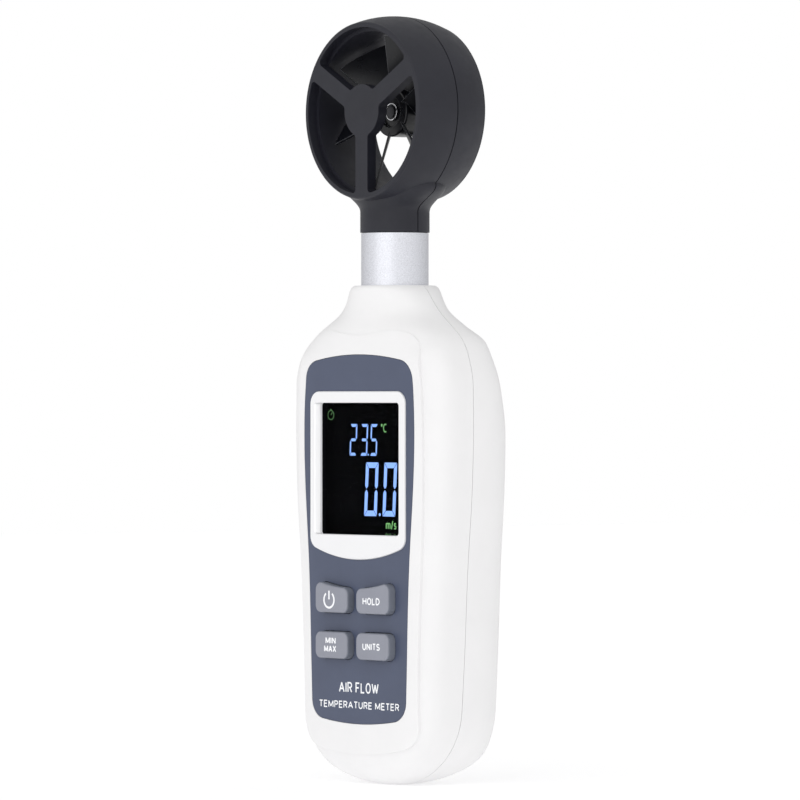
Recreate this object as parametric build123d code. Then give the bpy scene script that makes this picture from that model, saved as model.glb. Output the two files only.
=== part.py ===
from build123d import *
from math import cos, pi, radians, sin, sqrt
import os

# Hand-held vane anemometer, in millimetres.
# +Z is up along the handle, the display faces -Y, and the lowest point is at Z = 0.
# The handle, the neck and the head all part in one plane, y = PART_Y, which holds the neck's axis.

# ---- driving dimensions ----
PART_Y = -2.0            # parting plane of the shells, and the axis of the neck
FRONT_DEPTH = 10.6       # raised field on the front, forward of the parting plane
REAR_DEPTH = 16.5        # flat back, behind the parting plane
COLLAR_TOP = 109.0       # top of the handle, where the neck comes out
HEAD_Z = 147.1           # axis of the impeller
HEAD_R = 20.9            # head, at its widest
FACE_R = 19.35           # head, at its two flat faces
FACE_DEPTH = 9.6         # each face of the head, from the parting plane
DUCT_R = 17.4            # air duct
GUARD_R = 18.2           # opening in each guard
GUARD_T = 2.4            # thickness of a guard's spokes
SPOKE_W = 4.05
HUB_DISC_R = 5.75
TIP_R = 16.5             # impeller, over its blades
BLADES = 6
BLADE_T = 0.55
SPINDLE_R = 1.3
SLEEVE_R = 7.38          # metal neck sleeve
TAIL_R = 7.6             # bottom of the head, where it meets the sleeve
WALL = 2.0               # shell thickness
DOME_H = 18.25           # height of the rounded bottom, seen from the front
FOOT_H = 8.25            # height of the rounded bottom, seen from the side
SEAM = 0.12              # open line where the two shells of the handle meet
HEAD_SEAM = 0.24         # shadow line where the two shells of the head meet
SHADOW_LINE = 0.45       # depth of that line
CELL_R = 5.25            # AAA cell
CELL_L = 44.5
FAR = 40.0               # further out than anything in X and Y
ABOVE = 200.0            # higher than anything

REAR_FACE = PART_Y + REAR_DEPTH


def forward(depth):
    """The y of a place that lies depth forward of the parting plane."""
    return PART_Y - depth


def behind(depth):
    """The y of a place that lies depth behind the parting plane."""
    return PART_Y + depth


# ---- helpers ----
def xz_plane(y):
    """A drawing plane with its x along X and its y along Z."""
    return Plane(origin=(0, y, 0), x_dir=(1, 0, 0), z_dir=(0, -1, 0))


def prism(outline, y_from, y_to):
    """Outline drawn in X and Z, standing from y_from to y_to."""
    return extrude(xz_plane(y_from) * outline, amount=y_to - y_from, dir=(0, 1, 0))


def block(x0, x1, y0, y1, z0, z1):
    """A box between two corners."""
    return Pos((x0 + x1) / 2, (y0 + y1) / 2, (z0 + z1) / 2) * Box(x1 - x0, y1 - y0, z1 - z0)


def rod(x, z, radius, y0, y1):
    """A round bar along Y."""
    return prism(Pos(x, z) * Circle(radius), y0, y1)


def pipe(x, z, outer, inner, y0, y1):
    """A tube along Y."""
    return prism(Pos(x, z) * Circle(outer) - Pos(x, z) * Circle(inner), y0, y1)


def post(x, y, radius, z0, z1):
    """A round bar along Z."""
    return Pos(x, y, (z0 + z1) / 2) * Cylinder(radius, z1 - z0)


def spun(points):
    """Points of (radius, z), turned about the neck's axis."""
    profile = xz_plane(PART_Y) * make_face(Polyline(*points, close=True))
    return revolve(profile, Axis((0, PART_Y, 0), (0, 0, 1)), 360)


def keep(name, *solids):
    """Write one node, from one solid or from several separate ones."""
    pieces = [piece for solid in solids for piece in solid.solids()]
    shape = pieces[0] if len(pieces) == 1 else Compound(children=pieces)
    export_step(shape, os.path.join("parts", name + ".step"))


# ---- handle body: superellipse sections ----
# z, half width, depth in front, depth behind, front exponent, rear exponent
HANDLE_SECTIONS = [
    (18.0, 22.4, 10.3, 16.9, 4.8, 3.2),
    (29.0, 23.2, 10.3, 16.9, 4.8, 3.2),
    (51.0, 24.5, 10.3, 16.9, 4.8, 3.2),
    (62.0, 25.5, 10.3, 16.9, 4.8, 3.2),
    (73.0, 26.0, 10.3, 16.9, 4.8, 3.2),
    (80.0, 26.1, 10.3, 16.5, 4.8, 3.2),
    (84.0, 26.0, 10.3, 15.7, 4.8, 3.2),
    (88.8, 25.8, 10.3, 14.7, 4.8, 3.1),
    (92.8, 24.7, 10.3, 14.1, 4.4, 2.9),
    (95.0, 23.8, 10.3, 13.8, 3.7, 2.8),
    (97.1, 22.4, 10.2, 13.4, 3.0, 2.7),
    (99.3, 19.9, 9.9, 11.6, 2.6, 2.4),
    (101.5, 17.0, 9.0, 10.0, 2.2, 2.2),
    (103.0, 15.2, 8.6, 9.4, 2.0, 2.0),
    (105.0, 13.2, 8.5, 9.0, 2.0, 2.0),
    (107.0, 11.6, 8.9, 9.1, 2.0, 2.0),
    (108.5, 10.1, 9.1, 9.1, 2.0, 2.0),
    (COLLAR_TOP, 9.3, 8.5, 8.5, 2.0, 2.0),
]
DOME_ANGLES = (9.5, 15, 25, 35, 45, 55, 65, 78)
DOME_CUT = 0.25          # the rounded bottom is cut flat this far above its lowest point
LEAST_FOOT = 0.2         # share of the depth that is left at the flat
SHOULDER_Z = 93.0        # above this level the front is as round as the section says
HALF_POINTS = 29


def section(z, half_width, front, rear, front_n, rear_n):
    """One level of the handle: a superellipse in front and another behind."""
    shares = [step / (HALF_POINTS - 1) for step in range(HALF_POINTS)]
    halves = []
    for depth, power, side in ((front, front_n, -1), (rear, rear_n, 1)):
        points = []
        for share in shares:
            turn = pi * share
            reach = (abs(cos(turn)) ** power + abs(sin(turn)) ** power) ** (-1 / power)
            y = PART_Y + side * depth * reach * sin(turn)
            points.append(Vector(half_width * reach * cos(turn), y, z))
        points[0] = Vector(half_width, PART_Y, z)
        points[-1] = Vector(-half_width, PART_Y, z)
        ends = [Vector(0, side, 0), Vector(0, -side, 0)]
        halves.append(Edge.make_spline(points, tangents=ends, parameters=shares))
    return Face(Wire(halves))


def foot_share(z, inset):
    """How much of the depth is left at a level near the bottom."""
    below = FOOT_H - DOME_CUT - z
    if below <= 0:
        return 1.0
    return max(LEAST_FOOT, sqrt(max(0.0, 1 - (below / (FOOT_H - inset)) ** 2)))


def handle_form(inset, top=COLLAR_TOP, front_depth=None, front_power=None):
    """The handle's form, drawn in by inset on every side, up to the level top.

    A front_depth or front_power stands for the straight stretch's own.
    """
    base_z, base_width, base_front, base_rear, base_front_n, base_rear_n = HANDLE_SECTIONS[0]
    deeper = front_depth - base_front if front_depth else 0.0
    sections = []
    for angle in DOME_ANGLES:
        z = base_z - (DOME_H - inset) * cos(radians(angle))
        share = foot_share(z, inset)
        front = (base_front + deeper - inset) * share
        rear = (base_rear - inset) * share
        wide = (base_width - inset) * sin(radians(angle))
        sections.append(section(z, wide, front, rear, front_power or base_front_n, base_rear_n))
    for z, wide, front, rear, front_n, rear_n in HANDLE_SECTIONS:
        if z <= top:
            power = front_power if front_power and z < SHOULDER_Z else front_n
            sections.append(section(z, wide - inset, front + deeper - inset, rear - inset, power, rear_n))
    return loft(sections)


# ---- outlines of the front, drawn in X and Z ----
WINDOW_X = -0.25         # middle of the display window
WINDOW_Z = 69.0
WINDOW_W = 28.3
WINDOW_H = 28.75
SEAT_W = 29.7            # the window's pane lies in a seat behind the frame
SEAT_H = 30.7
SEAT_CORNER = 1.2
SEAT_DEPTH = 9.0
PANE_PLAY = 0.1
FRAME_WALL = 0.75        # the frame's sleeve through the front wall
FRAME_PLAY = 0.15        # between that sleeve and the hole in the wall
BEZEL_HALF = 15.95
BEZEL_TOP = 85.9
BEZEL_DEPTH = 10.95
BEZEL_ARC_R = 43.2
BEZEL_LOW = 49.2
PANEL_FLOOR = 9.3        # the face panel lies in a recess with this floor
INNER_FRONT = 8.1        # inside of the front wall
KEY_DEPTH = 12.5         # tops of the keys
KEY_IN = 1.4
KEY_OUT = 12.4
KEY_ARC_R = 50.0
KEY_MID_X = (KEY_IN + KEY_OUT) / 2
KEY_ROWS = {"upper": (37.5, 46.0), "lower": (27.5, 33.4)}
KEY_HOLLOW_LOW = 43.0    # lowest point of the arc that hollows the upper keys
KEY_PLAY = 0.15          # round each key in the panel and the wall
PLUNGER_R = 2.2
PLUNGER_END = 5.0
PILL_R = 1.8
PILL_END = 4.5
KEYS = [
    ("power_key", -1, "upper"),
    ("hold_key", 1, "upper"),
    ("min_max_key", -1, "lower"),
    ("units_key", 1, "lower"),
]


def mirrored(side, top, low, corner_top, corner_low):
    """A closed outline from its right side, a crest of one to three points and a curved foot."""
    left = [(-x, z) for x, z in reversed(side)]
    over = [side[-1]] + top + [(-x, z) for x, z in reversed(top) if x > 0] + [left[0]]
    edges = [
        Spline(*side),
        Spline(*over),
        Spline(*left),
        ThreePointArc(left[-1], (0, low), side[0]),
    ]
    face = make_face(edges)
    middle = (side[0][1] + side[-1][1]) / 2
    corners = face.vertices()
    face = fillet([v for v in corners if v.Y > middle], corner_top)
    return fillet([v for v in face.vertices() if v.Y < middle and v.Y <= side[0][1] + 0.01], corner_low)


def field_outline():
    """The raised field round the face panel."""
    side = [(19.2, 9.4), (19.3, 30.0), (20.0, 45.0), (20.7, 60.0), (20.8, 75.0), (20.4, 86.0), (19.0, 96.2)]
    return mirrored(side, [(12.0, 99.0), (0, 98.0)], 6.8, 6.8, 5.6)


def panel_outline(grow=0.0):
    """The coloured face panel."""
    side = [(15.7, 14.9), (16.2, 30.0), (17.0, 50.0), (17.95, 62.0), (18.55, 75.0), (17.5, 92.0)]
    side = [(x + grow, z) for x, z in side]
    side[0] = (side[0][0], side[0][1] - grow)
    side[-1] = (side[-1][0], side[-1][1] + grow)
    return mirrored(side, [(0, 93.9 + grow)], 13.4 - grow, 4.6, 4.4)


def bezel_outline(grow=0.0):
    """The display bezel: a rounded frame with a curved foot."""
    tall = BEZEL_TOP - 40.0
    face = Pos(0, BEZEL_TOP - tall / 2) * Rectangle(2 * BEZEL_HALF, tall)
    face = face & Pos(0, BEZEL_LOW + BEZEL_ARC_R) * Circle(BEZEL_ARC_R)
    face = fillet(face.vertices(), 2.8)
    return offset(face, grow) if grow else face


def key_outline(side, row, grow=0.0):
    """One key. The upper keys are hollowed on top to follow the bezel."""
    low, high = KEY_ROWS[row]
    face = Pos(side * KEY_MID_X, (low + high) / 2) * Rectangle(KEY_OUT - KEY_IN, high - low)
    if row == "upper":
        face = face - Pos(0, KEY_HOLLOW_LOW + KEY_ARC_R) * Circle(KEY_ARC_R)
    face = fillet(face.vertices(), 1.65)
    return offset(face, grow) if grow else face


def key_middle(side, row):
    """Where the plunger of a key stands."""
    low, high = KEY_ROWS[row]
    high = min(high, KEY_HOLLOW_LOW + 0.6)
    return side * KEY_MID_X, (low + high) / 2


def door_outline(grow=0.0):
    """The battery door."""
    face = make_face(Polyline((-18.0, 6.5), (18.0, 6.5), (20.3, 61.0), (-20.3, 61.0), close=True))
    face = fillet(face.vertices(), 4.0)
    return offset(face, grow) if grow else face


# ---- the handle's fixings ----
UPPER_SCREWS = [(-19.6, 86.0), (19.6, 86.0)]
LOWER_SCREWS = [(-5.5, 20.0), (5.5, 20.0)]
BOARD_SCREWS = [(-14.6, 48.6), (14.6, 48.6), (-14.6, 22.0), (14.6, 22.0)]
UPPER_SEAT = 3.0
BAY_FLOOR = 1.05         # inside of the battery bay
BAY_T = 1.2
MEETING = BAY_FLOOR - BAY_T
BAY_HALF = 16.7
BAY_LOW = 8.0
BAY_HIGH = 58.6
CELL_Y = 6.6
DOOR_T = 1.75
LEDGE_INSET = 1.85       # the door lies on a ledge, this far in from the outside
TRIPOD_Z = 76.0
TRIPOD_OUT_R = 4.6
TRIPOD_BORE_R = 2.6
TRIPOD_L = 7.0
BORE_R = 7.46            # bore of the collar that the sleeve turns in
LIP_TOP = 101.5          # the lip between the shells ends here, with the cavity
LIP_INSET = 1.05         # outside of the front shell's lip
LIP_H = 1.2
BOARD_FRONT = forward(3.4)
BOARD_BACK = forward(1.8)
RIB_R = 6.8              # inside of the rib that holds the sleeve in
CASE_SCREW = (8.0, 1.9, 1.3, 1.0)    # length under the head, head radius, head height, shank radius
BOARD_SCREW = (4.8, 1.6, 1.0, 0.8)
SCREW_PLAY = 0.15
SQUARE_POWER = 6         # exponent of the fronts that are nearly flat

FRONT_HALF = block(-FAR, FAR, -FAR, PART_Y, -FAR, ABOVE)
REAR_HALF = block(-FAR, FAR, PART_Y + SEAM, FAR, -FAR, ABOVE)
BELOW_BACK = block(-FAR, FAR, -FAR, REAR_FACE, -FAR, ABOVE)

OUTER = handle_form(0)
RAISED = handle_form(0, front_depth=FRONT_DEPTH, front_power=SQUARE_POWER)
CAVITY = handle_form(WALL, top=LIP_TOP, front_depth=INNER_FRONT + WALL, front_power=SQUARE_POWER)


def collar_bore():
    """The bore that the sleeve turns in."""
    return post(0, PART_Y, BORE_R, LIP_TOP - 0.1, COLLAR_TOP + 3)


def collar_rib():
    """The rib inside the collar that holds the sleeve in."""
    return spun([(RIB_R, 103.75), (8.4, 103.75), (8.4, 105.25), (RIB_R, 105.25)])


def front_shell():
    """Front half of the handle, with the raised field, the panel's recess and the bosses."""
    field = RAISED & prism(field_outline(), forward(12), forward(8.4))
    shell = (OUTER & FRONT_HALF) + field - CAVITY
    lip = handle_form(LIP_INSET, top=LIP_TOP) & block(-FAR, FAR, forward(0.5), behind(LIP_H), -FAR, ABOVE)
    shell += lip - CAVITY
    shell -= collar_bore()
    shell += collar_rib() & FRONT_HALF
    shell -= prism(panel_outline(0.06), forward(13), forward(PANEL_FLOOR))
    around = 2 * (FRAME_WALL + FRAME_PLAY)
    holes = Pos(0, WINDOW_Z) * RectangleRounded(SEAT_W + around, SEAT_H + around, 2.6)
    for _, side, row in KEYS:
        holes += key_outline(side, row, KEY_PLAY)
    shell -= prism(holes, forward(PANEL_FLOOR + 0.2), forward(6))
    bosses = [rod(x, z, 2.6, forward(8.5), MEETING) for x, z in UPPER_SCREWS + LOWER_SCREWS]
    bosses += [rod(x, z, 2.0, forward(8.5), BOARD_FRONT) for x, z in BOARD_SCREWS]
    case_r = CASE_SCREW[3]
    pilots = [rod(x, z, case_r, forward(5.0), FAR) for x, z in UPPER_SCREWS]
    pilots += [rod(x, z, case_r, forward(6.4), FAR) for x, z in LOWER_SCREWS]
    pilots += [rod(x, z, BOARD_SCREW[3], forward(7.0), FAR) for x, z in BOARD_SCREWS]
    return shell + bosses - pilots


def rear_shell():
    """Rear half of the handle, with the battery bay, the tripod boss and the screw wells."""
    shell = (OUTER & BELOW_BACK & REAR_HALF) - CAVITY
    rebate = handle_form(LIP_INSET - 0.1, top=LIP_TOP)
    shell -= rebate & block(-FAR, FAR, PART_Y, behind(LIP_H + 0.1), -FAR, ABOVE)
    inside = handle_form(1.0, top=LIP_TOP)
    tub_half = BAY_HALF + BAY_T
    shell += block(-tub_half, tub_half, MEETING, 9.0, BAY_LOW - BAY_T, BAY_HIGH + BAY_T) & inside
    shell -= prism(door_outline(), 4, FAR) - handle_form(LEDGE_INSET)
    ledge = handle_form(LEDGE_INSET, top=LIP_TOP) - handle_form(LEDGE_INSET + 1.25, top=LIP_TOP)
    shell += ledge & prism(door_outline(1.5), 3, FAR)
    shell += rod(0, TRIPOD_Z, 6.5, 6.5, 13.5)
    for x, z in UPPER_SCREWS:
        shell += rod(x, z, 3.6, MEETING, FAR) & inside
    shell -= block(-BAY_HALF, BAY_HALF, BAY_FLOOR, FAR, BAY_LOW, BAY_HIGH)
    shell -= collar_bore()
    shell += collar_rib() & REAR_HALF
    shell -= rod(0, TRIPOD_Z, TRIPOD_OUT_R, REAR_FACE - TRIPOD_L, FAR)
    _, head_r, _, shank_r = CASE_SCREW
    clear_r = shank_r + SCREW_PLAY
    wells = [rod(x, z, clear_r, PART_Y, FAR) for x, z in UPPER_SCREWS]
    wells += [rod(x, z, head_r + 0.3, UPPER_SEAT, FAR) for x, z in UPPER_SCREWS]
    wells += [rod(x, z, clear_r, PART_Y, 2) for x, z in LOWER_SCREWS]
    return shell - wells


def battery_door():
    """The door over the cells."""
    return (OUTER & BELOW_BACK & prism(door_outline(-0.15), 4, FAR)) - handle_form(DOOR_T)


def face_panel():
    """The coloured panel, flush in the raised field."""
    face = panel_outline(-0.04) - bezel_outline(0.06)
    for _, side, row in KEYS:
        face -= key_outline(side, row, KEY_PLAY)
    return prism(face, forward(12), forward(PANEL_FLOOR)) & RAISED


def edges_at(solid, y):
    """The edges that lie in one plane across Y."""
    return solid.edges().filter_by_position(Axis.Y, y - 0.01, y + 0.01)


def display_bezel():
    """White frame round the window, with a sleeve through the front wall."""
    frame = prism(bezel_outline(), forward(BEZEL_DEPTH), forward(PANEL_FLOOR))
    window = Pos(WINDOW_X, WINDOW_Z) * RectangleRounded(WINDOW_W, WINDOW_H, 0.8)
    frame -= prism(window, forward(12), forward(8))
    frame = fillet(edges_at(frame, forward(BEZEL_DEPTH)), 0.3)
    seat = Pos(0, WINDOW_Z) * RectangleRounded(SEAT_W, SEAT_H, SEAT_CORNER)
    outside = Pos(0, WINDOW_Z) * RectangleRounded(SEAT_W + 2 * FRAME_WALL, SEAT_H + 2 * FRAME_WALL, 2.5)
    frame += prism(outside - seat, forward(PANEL_FLOOR + 0.1), forward(7.95))
    return frame - prism(seat, forward(SEAT_DEPTH), forward(7))


def display_window():
    """The clear pane, in its seat behind the frame."""
    pane = RectangleRounded(SEAT_W - PANE_PLAY, SEAT_H - PANE_PLAY, SEAT_CORNER)
    return prism(Pos(0, WINDOW_Z) * pane, forward(SEAT_DEPTH), forward(8.1))


def key_cap(side, row):
    """A silicone key: cap, flange under the wall and plunger."""
    cap = prism(key_outline(side, row), forward(KEY_DEPTH), forward(7.5))
    cap = fillet(edges_at(cap, forward(KEY_DEPTH)), 0.5)
    cap += prism(key_outline(side, row, 0.8), forward(7.9), forward(7.0))
    x, z = key_middle(side, row)
    return cap + rod(x, z, PLUNGER_R, forward(7.2), forward(PLUNGER_END))


def keypad_mat():
    """The sheet on the board that springs the keys, with a collar round each contact."""
    mat = block(-13.4, 13.4, forward(4.2), BOARD_FRONT, 26.0, 46.4)
    for _, side, row in KEYS:
        x, z = key_middle(side, row)
        mat += rod(x, z, 3.4, forward(5.8), forward(4.0))
        mat -= rod(x, z, 2.6, forward(7), 0)
    return mat


def main_board():
    """The circuit board, drilled for the bosses and its own screws."""
    board = block(-16.8, 16.8, BOARD_FRONT, BOARD_BACK, 12.0, 97.0)
    for x, z in LOWER_SCREWS:
        board -= rod(x, z, 2.9, -FAR, FAR)
    for x, z in BOARD_SCREWS:
        board -= rod(x, z, 1.0, -FAR, FAR)
    return board


def lcd_holder():
    """Frame that holds the glass, the backlight and the zebra strip on the board."""
    holder = block(-16.6, 16.6, forward(7.0), BOARD_FRONT, 51.0, 87.2)
    holder -= block(-15.55, 15.55, forward(8), 0, 51.95, 86.05)
    return holder + block(-15.6, 15.6, forward(6.0), BOARD_FRONT, 81.1, 81.9)


def pan_screw(x, z, seat, sizes):
    """A screw driven from behind, with a cross in its head."""
    length, head_r, head_h, shank_r = sizes
    screw = rod(x, z, head_r, seat, seat + head_h) + rod(x, z, shank_r, seat - length, seat)
    slot = Pos(x, z) * (Rectangle(head_r * 1.2, head_r * 0.3) + Rectangle(head_r * 0.3, head_r * 1.2))
    return screw - prism(slot, seat + head_h * 0.45, seat + head_h + 1)


def aaa_cell(x, low, points_up):
    """A cell along Z: a can with a rounded rim and a small cap."""
    can_l = CELL_L - CAP_H
    can_low = low if points_up else low + CAP_H
    can = post(x, CELL_Y, CELL_R, can_low, can_low + can_l)
    can = fillet(can.edges().filter_by(GeomType.CIRCLE), 0.4)
    cap_low = can_low + can_l if points_up else low
    return can + post(x, CELL_Y, CAP_R, cap_low, cap_low + CAP_H)


CAP_R = 1.9
CAP_H = 0.8
PLATE_T = 0.4
PLATE_FRONT = 3.0
PLATE_REAR = 9.4
SPRING_L = BAY_HIGH - BAY_LOW - 2 * PLATE_T - CELL_L
SPRING_BASE_R = 3.4
SPRING_END_R = 2.2
WIRE_R = 0.3
HALF_TURNS = 5
CELLS = [
    ("aaa_cell_left", -11.0, True),
    ("aaa_cell_middle", 0.0, False),
    ("aaa_cell_right", 11.0, True),
]


def cell_low(points_up):
    """The lowest level of a cell, whose flat end stands on its spring."""
    return BAY_LOW + PLATE_T + (SPRING_L if points_up else 0)


def contact_spring(x, at_bottom):
    """A conical spring of half turns between a plate and the flat end of a cell."""
    rise = (SPRING_L - 2 * WIRE_R) / HALF_TURNS
    taper = (SPRING_BASE_R - SPRING_END_R) / HALF_TURNS
    coil = None
    for number in range(HALF_TURNS):
        side = (-1) ** number
        start_r = SPRING_BASE_R - number * taper
        span = 2 * start_r - taper
        start = Vector(side * start_r, 0, WIRE_R + number * rise)
        middle = start + Vector(-side * span / 2, 0, rise / 2)
        wire = Plane(origin=start, z_dir=(0, 1, 0)) * Circle(WIRE_R)
        turn = revolve(wire, Axis(middle, (side * rise, 0, span)), 180)
        coil = turn if coil is None else coil + turn
    if at_bottom:
        return Pos(x, CELL_Y, BAY_LOW + PLATE_T) * coil
    return Pos(x, CELL_Y, BAY_HIGH - PLATE_T) * Rot(180, 0, 0) * coil


def battery_contacts():
    """Four plates that put the three cells in series."""
    low_spans = ((-14.0, -8.0), (-3.0, 14.0))
    high_spans = ((-14.0, 3.0), (8.0, 14.0))
    plates = []
    for z, spans in ((BAY_LOW, low_spans), (BAY_HIGH - PLATE_T, high_spans)):
        plates += [block(x0, x1, PLATE_FRONT, PLATE_REAR, z, z + PLATE_T) for x0, x1 in spans]
    return plates


def board_chips():
    """The chips on the back of the board."""
    # x, z, width, height, thickness
    places = [(0, 68, 12, 12, 1.4), (11.5, 68, 5, 4, 1.2), (-10.5, 54, 5, 6, 1.5), (9.0, 43, 5, 4, 1.2)]
    return [block(x - w / 2, x + w / 2, BOARD_BACK, BOARD_BACK + t, z - h / 2, z + h / 2)
            for x, z, w, h, t in places]


# ---- the head ----
SLEEVE_LOW = 101.6
SLEEVE_TOP = 120.5
TAIL_LOW = 120.65
SPIGOT_LOW = 112.0
SPIGOT_R = 5.85
WIREWAY_R = 4.0
BOSS_R = 5.0
BOSS_FRONT = 3.8
DUCT_HALF = FACE_DEPTH - GUARD_T
HUB_R = 5.5
HUB_FRONT = -1.4         # the hub's two ends, from the parting plane
HUB_REAR = 3.0
BUSH_R = 2.0
MAGNET_R = 4.6
MAGNET_BORE_R = 3.0
MAGNET_FRONT = 1.8
CLIP_R = 1.9
GROOVE_R = 1.0
SPINDLE_REAR = 8.6
BLADE_TURN = 5           # degrees from straight up to the first blade
LEAD_HALF = 0.6
LEAD_LOW = 127.5
LEAD_REAR = 7.6
BOARD_REAR = 3.0         # back of the sensor board, from the parting plane
# height above the axis, x of the two edges, depth of the two edges
BLADE_ENDS = [
    (4.4, -0.3, 3.1, -1.35, 1.9),
    (17.6, 0.15, 10.1, -4.6, 3.75),
]
# z, half width and half depth of the tail that flares into the barrel
FLARE_LOW = 125.2
FLARE_HIGH = 130.6
FLARE_X = 13.6           # half width of the tail where it has run into the barrel
FLARE_Y = 9.0
TAIL_STEPS = 16
TAIL_STEP = 0.75


def tail_section(z):
    """Height and half sizes of the tail: straight at first, then eased out into the barrel."""
    share = min(1.0, max(0.0, (z - FLARE_LOW) / (FLARE_HIGH - FLARE_LOW)))
    eased = share * share * (3 - 2 * share)
    return z, TAIL_R + (FLARE_X - TAIL_R) * eased, TAIL_R + (FLARE_Y - TAIL_R) * eased


TAIL_SECTIONS = [tail_section(TAIL_LOW + TAIL_STEP * step) for step in range(TAIL_STEPS + 1)]


def neck_sleeve():
    """The metal neck, with a groove that the collar's rib runs in."""
    inner_r = SPIGOT_R + 0.05
    groove_r = RIB_R - 0.1
    return spun([(inner_r, SLEEVE_LOW), (SLEEVE_R, SLEEVE_LOW), (SLEEVE_R, 103.6), (groove_r, 103.6),
                 (groove_r, 105.4), (SLEEVE_R, 105.4), (SLEEVE_R, SLEEVE_TOP), (inner_r, SLEEVE_TOP)])


def barrel():
    """The head's outer form: a short barrel about the impeller's axis."""
    edge = 0.5
    inner = FACE_R - edge
    lower = FACE_DEPTH - edge
    corner_r = FACE_R - 0.14
    corner_depth = FACE_DEPTH - 0.15
    profile = make_face([
        Line((0, -FACE_DEPTH), (inner, -FACE_DEPTH)),
        ThreePointArc((inner, -FACE_DEPTH), (corner_r, -corner_depth), (FACE_R, -lower)),
        ThreePointArc((FACE_R, -lower), (HEAD_R, 0), (FACE_R, lower)),
        ThreePointArc((FACE_R, lower), (corner_r, corner_depth), (inner, FACE_DEPTH)),
        Line((inner, FACE_DEPTH), (0, FACE_DEPTH)),
        Line((0, FACE_DEPTH), (0, -FACE_DEPTH)),
    ])
    placed = Plane(origin=(0, PART_Y, HEAD_Z), x_dir=(1, 0, 0), z_dir=(0, 0, 1)) * profile
    return revolve(placed, Axis((0, PART_Y, HEAD_Z), (0, 1, 0)), 360)


def guard_openings():
    """The three openings of a guard, between its spokes and its disc."""
    face = Circle(GUARD_R) - Circle(HUB_DISC_R)
    reach = GUARD_R + 2
    for angle in (-90, 30, 150):
        face -= Rot(0, 0, angle) * Pos(reach / 2, 0) * Rectangle(reach, SPOKE_W)
    return Pos(0, HEAD_Z) * fillet(face.vertices(), 0.9)


def head_form():
    """Barrel, tail and spigot in one, hollowed for the air and the wires."""
    tail = loft([section(z, a, b, b, 2.0, 2.0) for z, a, b in TAIL_SECTIONS])
    body = barrel() + tail + post(0, PART_Y, SPIGOT_R, SPIGOT_LOW, 123.0)
    body -= rod(0, HEAD_Z, DUCT_R, forward(DUCT_HALF), behind(DUCT_HALF))
    openings = guard_openings()
    body -= prism(openings, forward(FACE_DEPTH + 1), forward(DUCT_HALF))
    body -= prism(openings, behind(DUCT_HALF), behind(FACE_DEPTH + 1))
    return body - post(0, PART_Y, WIREWAY_R, SPIGOT_LOW - 1, 128.3)


HEAD = head_form()
HEAD_FRONT = HEAD & FRONT_HALF
HEAD_REAR = HEAD & block(-FAR, FAR, behind(HEAD_SEAM), FAR, -FAR, ABOVE)
HALL_LOW = HEAD_Z - 4.6
HALL_HIGH = HEAD_Z - 2.2
HALL_REAR = 5.3


def head_front_shell():
    """Front half of the head, reaching the rear half but for a shadow line along the outside."""
    right = [(width - SHADOW_LINE, z) for z, width, _ in TAIL_SECTIONS]
    left = [(-x, z) for x, z in reversed(right)]
    inside = make_face(Polyline(*right, *left, close=True)) + Pos(0, HEAD_Z) * Circle(HEAD_R - SHADOW_LINE)
    inside += Pos(0, (SPIGOT_LOW + TAIL_LOW) / 2) * Rectangle(2 * SPIGOT_R, TAIL_LOW - SPIGOT_LOW + 2)
    joint_y = behind(HEAD_SEAM - 0.02)
    return HEAD_FRONT + (HEAD & prism(inside, PART_Y, joint_y))


def head_rear_shell():
    """Rear half of the head, with the boss of the spindle and the way of the leads."""
    shell = HEAD_REAR + rod(0, HEAD_Z, BOSS_R, behind(BOSS_FRONT), behind(DUCT_HALF + 0.1))
    shell -= rod(0, HEAD_Z, SPINDLE_R, behind(0), behind(SPINDLE_REAR))
    shell -= block(-1.5, 1.5, behind(3), behind(HALL_REAR), HALL_LOW, HALL_HIGH)
    way = LEAD_HALF + 0.1
    way_low = LEAD_LOW - 0.1
    way_rear = behind(LEAD_REAR + 0.05)
    shell -= block(-way, way, behind(5), way_rear, HALL_LOW, HALL_HIGH)
    shell -= block(-way, way, behind(DUCT_HALF), way_rear, way_low, HALL_HIGH)
    return shell - block(-way, way, behind(3.0), way_rear, way_low, 128.0)


def sensor_leads():
    """A flat strip from the rotor's sensor, down the rear spoke and into the neck."""
    strip_t = 0.4
    top = HALL_LOW + 1.0
    rear = behind(LEAD_REAR)
    board = behind(BOARD_REAR)
    strip = block(-LEAD_HALF, LEAD_HALF, behind(HALL_REAR), rear, top - strip_t, top)
    strip += block(-LEAD_HALF, LEAD_HALF, behind(DUCT_HALF), rear, LEAD_LOW, top)
    strip += block(-LEAD_HALF, LEAD_HALF, board, rear, LEAD_LOW, LEAD_LOW + strip_t)
    return strip + block(-LEAD_HALF, LEAD_HALF, board, board + 0.3, LEAD_LOW - 1.0, LEAD_LOW + strip_t)


def blade():
    """One blade, running back and round from its leading edge; it points up."""
    half = BLADE_T / 2
    faces = []
    for z, x0, x1, d0, d1 in BLADE_ENDS:
        run = sqrt((x1 - x0) ** 2 + (d1 - d0) ** 2)
        nx = (d1 - d0) / run * half
        nd = -(x1 - x0) / run * half
        corners = [(x0 + nx, d0 + nd), (x1 + nx, d1 + nd), (x1 - nx, d1 - nd), (x0 - nx, d0 - nd)]
        faces.append(Plane(origin=(0, PART_Y, HEAD_Z + z)) * make_face(Polyline(*corners, close=True)))
    return loft(faces, ruled=True)


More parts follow.
